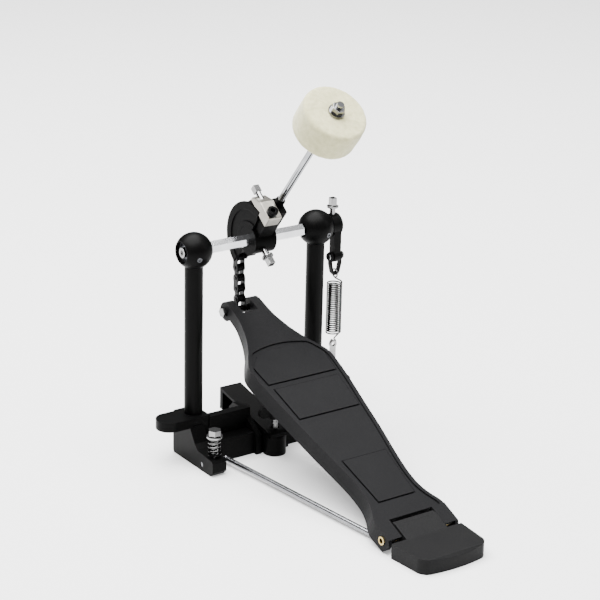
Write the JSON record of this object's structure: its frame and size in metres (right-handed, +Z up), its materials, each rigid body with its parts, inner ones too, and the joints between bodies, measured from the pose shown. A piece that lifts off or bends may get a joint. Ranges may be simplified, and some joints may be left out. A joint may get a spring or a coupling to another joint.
{
  "type": "bass drum pedal",
  "caption": "Chain-driven bass drum pedal: two round posts carry a hex axle with felt beater, sprung on the right, over a sloping ribbed footboard hinged at a heel plate.",
  "frame": {"origin": "on the floor, midway between the two posts and directly under the axle", "axes": "+Z up, +Y from the heel plate towards the drum, +X to the player's right (spring side)"},
  "size_m": [0.2018, 0.3383, 0.3375],
  "materials": {
    "black_powder_coat": "semi-matte black powder coat",
    "black_tread": "finely textured charcoal black coat",
    "black_casting": "black coated casting",
    "bearing_steel": "dark shielded bearing steel",
    "ground_steel": "bright ground steel",
    "satin_nickel": "satin nickel plate",
    "black_oxide": "black oxide",
    "black_chain": "black roller chain",
    "chromed_rod": "polished chrome",
    "white_felt": "off-white pressed felt",
    "black_plastic": "black nylon",
    "spring_wire": "bright nickel wire",
    "hinge_brass": "dull brass bush",
    "bright_rod": "zinc plated steel rod",
    "zinc_screws": "bright nickel plated screws"
  },
  "bodies": {
    "frame": {"base_casting": "black_powder_coat", "post_left": "black_powder_coat", "post_right": "black_powder_coat", "ball_left": "black_powder_coat", "ball_right": "black_powder_coat", "bearing_left": "bearing_steel", "bearing_right": "bearing_steel", "ball_set_screws": "bearing_steel", "spring_lug": "black_powder_coat", "spring_eyebolt": "zinc_screws", "eyebolt_nuts": "zinc_screws", "heel_plate": "black_powder_coat", "heel_hinge_pin": "hinge_brass", "radius_rod_left": "bright_rod", "radius_rod_right": "bright_rod", "jaw_pivot_pin": "zinc_screws", "spur_spring_left": "spring_wire", "spur_spring_right": "spring_wire"},
    "axle_set": {"axle": "ground_steel", "axle_end_screws": "zinc_screws", "chain_wheel": "black_casting", "beater_hub": "black_casting", "clamp_block": "satin_nickel", "clamp_cap_screw": "black_oxide", "rod_key_screw": "zinc_screws", "hub_key_bolt": "zinc_screws", "chain_wrapped": "black_chain", "rocker_hub": "black_powder_coat", "rocker_key_screw": "zinc_screws", "rocker_pin": "zinc_screws"},
    "beater": {"beater_rod": "chromed_rod", "felt_head": "white_felt", "felt_washer": "zinc_screws", "felt_nut": "zinc_screws"},
    "treadle": {"footboard": "black_tread", "toe_bolt": "zinc_screws"},
    "chain_run": {"chain_hanging": "black_chain"},
    "stirrup_link": {"stirrup": "black_plastic"},
    "spring_set": {"pedal_spring": "spring_wire"},
    "spring_top": {"spring_top_hook": "spring_wire"},
    "jaw": {"hoop_jaw": "black_powder_coat"},
    "wing_screw": {"clamp_wing_screw": "zinc_screws", "clamp_wing_grip": "black_plastic"},
    "spur_l": {"spur_bolt_left": "zinc_screws"},
    "spur_r": {"spur_bolt_right": "zinc_screws"}
  },
  "joints": [
    {"name": "axle_turn", "type": "hinge", "parent": "frame", "child": "axle_set", "pos_m": [0, 0, 0.188], "axis": [1, 0, 0], "range_deg": [-48, 0], "stiffness_Nm_per_rad": 1.2},
    {"name": "beater_height", "type": "slide", "parent": "axle_set", "child": "beater", "axis": [0, -0.6293, 0.7771], "range_m": [-0.006, 0.015]},
    {"name": "treadle_hinge", "type": "hinge", "parent": "frame", "child": "treadle", "pos_m": [0, -0.238, 0.0105], "axis": [1, 0, 0], "range_deg": [-5.5, 0]},
    {"name": "chain_swing", "type": "hinge", "parent": "treadle", "child": "chain_run", "pos_m": [0, 0.02202, 0.11708], "axis": [1, 0, 0], "range_deg": [0, 12]},
    {"name": "stirrup_swing", "type": "hinge", "parent": "axle_set", "child": "stirrup_link", "pos_m": [0.081, -0.005, 0.16], "axis": [1, 0, 0], "range_deg": [0, 49]},
    {"name": "spring_swing", "type": "hinge", "parent": "frame", "child": "spring_set", "pos_m": [0.0815, -0.005, 0.076], "axis": [1, 0, 0], "range_deg": [0, 20]},
    {"name": "spring_stretch", "type": "slide", "parent": "spring_set", "child": "spring_top", "axis": [0, 0, 1], "range_m": [0, 0.016], "deforming": ["pedal_spring", "spring_top_hook"]},
    {"name": "wing_turn", "type": "hinge", "parent": "frame", "child": "wing_screw", "pos_m": [0, -0.034, 0.02], "axis": [0, 0, 1], "range_deg": [0, 1440]},
    {"name": "jaw_hinge", "type": "hinge", "parent": "frame", "child": "jaw", "pos_m": [0, 0.008, 0.026], "axis": [1, 0, 0], "range_deg": [-6, 0]},
    {"name": "spur_left_height", "type": "slide", "parent": "frame", "child": "spur_l", "axis": [0, 0, -1], "range_m": [-0.004, 0.006], "deforming": ["spur_spring_left"]},
    {"name": "spur_right_height", "type": "slide", "parent": "frame", "child": "spur_r", "axis": [0, 0, -1], "range_m": [-0.004, 0.006], "deforming": ["spur_spring_right"]}
  ],
  "couplings": [
    {"joint": "treadle_hinge", "follows": "axle_turn", "ratio": 0.09999},
    {"joint": "chain_swing", "follows": "axle_turn", "ratio": -0.202},
    {"joint": "stirrup_swing", "follows": "axle_turn", "ratio": -1},
    {"joint": "spring_swing", "follows": "axle_turn", "ratio": -0.26},
    {"joint": "spring_stretch", "follows": "axle_turn", "m_per_rad": -0.0172},
    {"joint": "jaw_hinge", "follows": "wing_turn", "ratio": -0.004}
  ]
}
